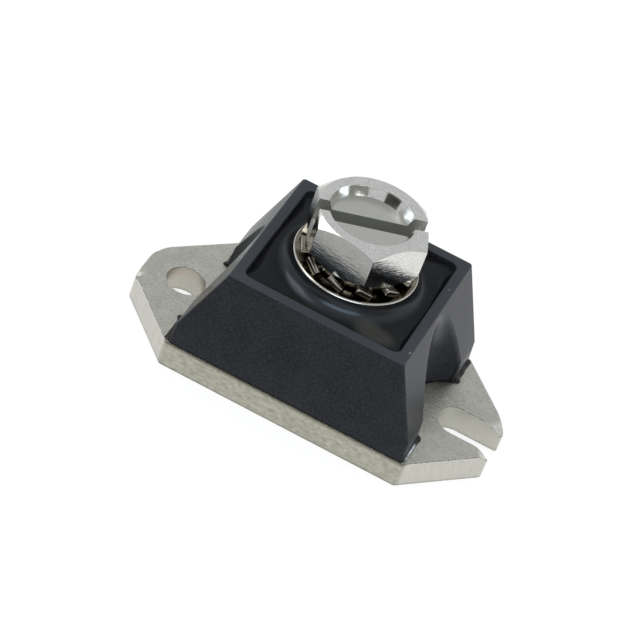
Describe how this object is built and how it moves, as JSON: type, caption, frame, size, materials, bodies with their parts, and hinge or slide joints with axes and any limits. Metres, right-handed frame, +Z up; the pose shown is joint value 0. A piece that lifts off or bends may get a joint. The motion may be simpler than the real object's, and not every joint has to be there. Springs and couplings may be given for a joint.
{
  "type": "schottky diode",
  "caption": "Screw-terminal power rectifier: pointed metal baseplate with a hole and an open slot, black housing with scalloped ends, and a hex head screw on a round terminal.",
  "frame": {"origin": "centre of the baseplate's underside", "axes": "+X to the slotted end, +Y across the baseplate, +Z up through the terminal"},
  "size_m": [0.039, 0.0188, 0.0211],
  "materials": {
    "nickel_satin": "satin nickel plate on copper",
    "nickel_bright": "bright nickel plate",
    "black_plastic": "fine matt moulded",
    "black_epoxy": "glossy as cast",
    "black_adhesive": "semi-gloss cured glue",
    "clear_gel": "soft translucent silicone",
    "solder": "dull solder",
    "molybdenum": "lapped",
    "silicon": "polished die with metal pads",
    "copper": "rolled copper strip"
  },
  "bodies": {
    "root": {"baseplate": "nickel_satin", "housing": "black_plastic", "adhesive_bead": "black_adhesive", "base_solder": "solder", "lower_buffer_disc": "molybdenum", "die_solder": "solder", "schottky_die": "silicon", "top_solder": "solder", "upper_buffer_disc": "molybdenum", "lead_solder": "solder", "flex_lead": "copper", "terminal_post": "nickel_bright", "silicone_gel": "clear_gel", "epoxy_fill": "black_epoxy", "lock_washer": "nickel_bright", "terminal_screw": "nickel_bright"}
  },
  "joints": []
}
